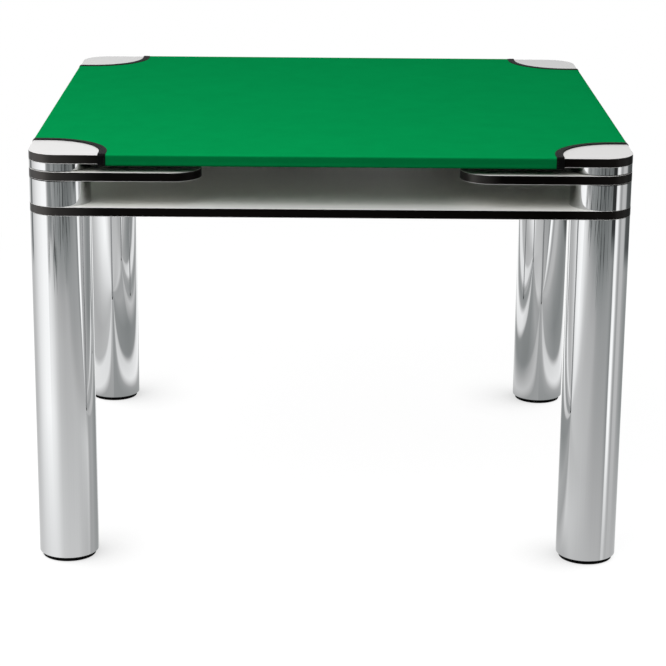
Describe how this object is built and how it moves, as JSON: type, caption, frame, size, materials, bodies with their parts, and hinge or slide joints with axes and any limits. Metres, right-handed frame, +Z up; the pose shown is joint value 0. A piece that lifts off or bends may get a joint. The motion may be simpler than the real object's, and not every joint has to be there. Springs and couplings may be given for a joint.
{
  "type": "mahjong table",
  "caption": "Square card and mahjong table with a removable green cloth cover, chromed tube legs, a full-size shelf and flat trays that swing out round the legs.",
  "frame": {"origin": "on the floor, under the centre of the square top", "axes": "+Z up; X across the front, Y from front to back; the trays lie along the front and back edges at rest"},
  "size_m": [0.984, 0.984, 0.702],
  "materials": {
    "board_core": "satin black solid laminate edge",
    "white_laminate": "semi-gloss white decor laminate",
    "green_baize": "felted wool-look baize",
    "elastic": "woven elastic",
    "black_binding": "matt leather-look binding",
    "chrome": "bright chrome",
    "bare_steel": "zinc-plated",
    "black_nylon": "moulded nylon"
  },
  "bodies": {
    "table": {"back_left_corner_binding": "black_binding", "back_left_foot": "black_nylon", "back_left_leg_head": "bare_steel", "back_left_leg_tube": "chrome", "back_left_lower_spacer": "chrome", "back_left_pivot_sleeve": "bare_steel", "back_left_upper_spacer": "chrome", "back_right_corner_binding": "black_binding", "back_right_foot": "black_nylon", "back_right_leg_head": "bare_steel", "back_right_leg_tube": "chrome", "back_right_lower_spacer": "chrome", "back_right_pivot_sleeve": "bare_steel", "back_right_upper_spacer": "chrome", "cloth_cover": "green_baize", "flange_screws": "bare_steel", "foot_screws": "bare_steel", "front_left_corner_binding": "black_binding", "front_left_foot": "black_nylon", "front_left_leg_head": "bare_steel", "front_left_leg_tube": "chrome", "front_left_lower_spacer": "chrome", "front_left_pivot_sleeve": "bare_steel", "front_left_upper_spacer": "chrome", "front_right_corner_binding": "black_binding", "front_right_foot": "black_nylon", "front_right_leg_head": "bare_steel", "front_right_leg_tube": "chrome", "front_right_lower_spacer": "chrome", "front_right_pivot_sleeve": "bare_steel", "front_right_upper_spacer": "chrome", "hem_elastic": "elastic", "leg_base_plates": "bare_steel", "shelf_core": "board_core", "shelf_face": "white_laminate", "shelf_underside_face": "white_laminate", "thrust_washers": "black_nylon", "tie_studs": "bare_steel", "top_core": "board_core", "top_face": "white_laminate", "top_flanges": "bare_steel", "top_underside_face": "white_laminate"},
    "front_left_tray": {"front_left_tray_core": "board_core", "front_left_tray_face": "white_laminate", "front_left_tray_underside_face": "white_laminate", "front_left_tray_bush": "black_nylon"},
    "front_right_tray": {"front_right_tray_core": "board_core", "front_right_tray_face": "white_laminate", "front_right_tray_underside_face": "white_laminate", "front_right_tray_bush": "black_nylon"},
    "back_left_tray": {"back_left_tray_core": "board_core", "back_left_tray_face": "white_laminate", "back_left_tray_underside_face": "white_laminate", "back_left_tray_bush": "black_nylon"},
    "back_right_tray": {"back_right_tray_core": "board_core", "back_right_tray_face": "white_laminate", "back_right_tray_underside_face": "white_laminate", "back_right_tray_bush": "black_nylon"}
  },
  "joints": [
    {"name": "front_left_tray_swivel", "type": "hinge", "parent": "table", "child": "front_left_tray", "pos_m": [-0.44, -0.44, 0.664], "axis": [0, 0, 1], "continuous": true},
    {"name": "front_right_tray_swivel", "type": "hinge", "parent": "table", "child": "front_right_tray", "pos_m": [0.44, -0.44, 0.664], "axis": [0, 0, 1], "continuous": true},
    {"name": "back_left_tray_swivel", "type": "hinge", "parent": "table", "child": "back_left_tray", "pos_m": [-0.44, 0.44, 0.664], "axis": [0, 0, 1], "continuous": true},
    {"name": "back_right_tray_swivel", "type": "hinge", "parent": "table", "child": "back_right_tray", "pos_m": [0.44, 0.44, 0.664], "axis": [0, 0, 1], "continuous": true}
  ]
}
